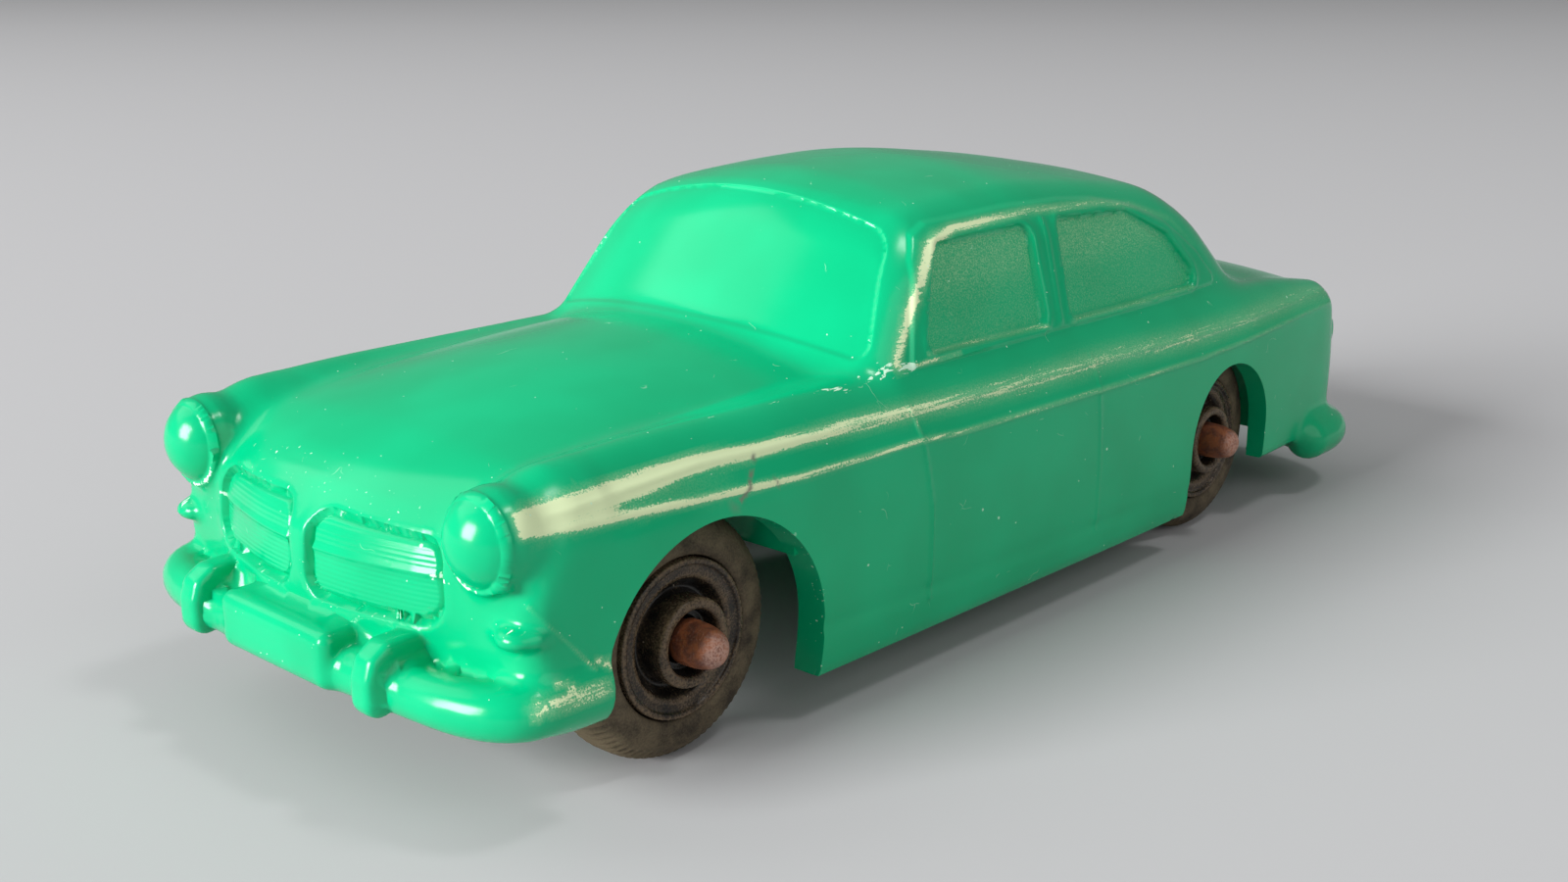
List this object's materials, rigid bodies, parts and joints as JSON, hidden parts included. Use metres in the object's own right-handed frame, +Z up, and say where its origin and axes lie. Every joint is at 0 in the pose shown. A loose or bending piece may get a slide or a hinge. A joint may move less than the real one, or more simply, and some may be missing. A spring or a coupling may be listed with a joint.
{
  "type": "toy saloon car",
  "caption": "Free-rolling two-door saloon toy: hollow one-piece plastic body, steel axles, and plastic hubs with rubber tyres.",
  "frame": {"origin": "on the floor under the middle of the car, midway between its bumpers", "axes": "+X to the nose, +Y to the car's left side, +Z up"},
  "size_m": [0.1053, 0.04, 0.033],
  "materials": {
    "green_plastic": "glossy emerald green, with worn pale paint on its raised lines",
    "black_plastic": "glossy black, a little dusty",
    "tyre_rubber": "matte black rubber, brown with dust",
    "rusty_steel": "steel under a thin even rust"
  },
  "bodies": {
    "body": {"body_shell": "green_plastic"},
    "front_axle": {"front_axle": "rusty_steel"},
    "rear_axle": {"rear_axle": "rusty_steel"},
    "front_left_wheel": {"hub_front_left": "black_plastic", "tyre_front_left": "tyre_rubber"},
    "front_right_wheel": {"hub_front_right": "black_plastic", "tyre_front_right": "tyre_rubber"},
    "rear_left_wheel": {"hub_rear_left": "black_plastic", "tyre_rear_left": "tyre_rubber"},
    "rear_right_wheel": {"hub_rear_right": "black_plastic", "tyre_rear_right": "tyre_rubber"}
  },
  "joints": [
    {"name": "front_axle_spin", "type": "hinge", "parent": "body", "child": "front_axle", "pos_m": [0.03405, 0, 0.008], "axis": [0, 1, 0], "continuous": true},
    {"name": "rear_axle_spin", "type": "hinge", "parent": "body", "child": "rear_axle", "pos_m": [-0.02645, 0, 0.008], "axis": [0, 1, 0], "continuous": true},
    {"name": "front_left_wheel_spin", "type": "hinge", "parent": "front_axle", "child": "front_left_wheel", "pos_m": [0.03405, 0.0144, 0.008], "axis": [0, 1, 0], "continuous": true},
    {"name": "front_right_wheel_spin", "type": "hinge", "parent": "front_axle", "child": "front_right_wheel", "pos_m": [0.03405, -0.0144, 0.008], "axis": [0, 1, 0], "continuous": true},
    {"name": "rear_left_wheel_spin", "type": "hinge", "parent": "rear_axle", "child": "rear_left_wheel", "pos_m": [-0.02645, 0.0144, 0.008], "axis": [0, 1, 0], "continuous": true},
    {"name": "rear_right_wheel_spin", "type": "hinge", "parent": "rear_axle", "child": "rear_right_wheel", "pos_m": [-0.02645, -0.0144, 0.008], "axis": [0, 1, 0], "continuous": true}
  ]
}
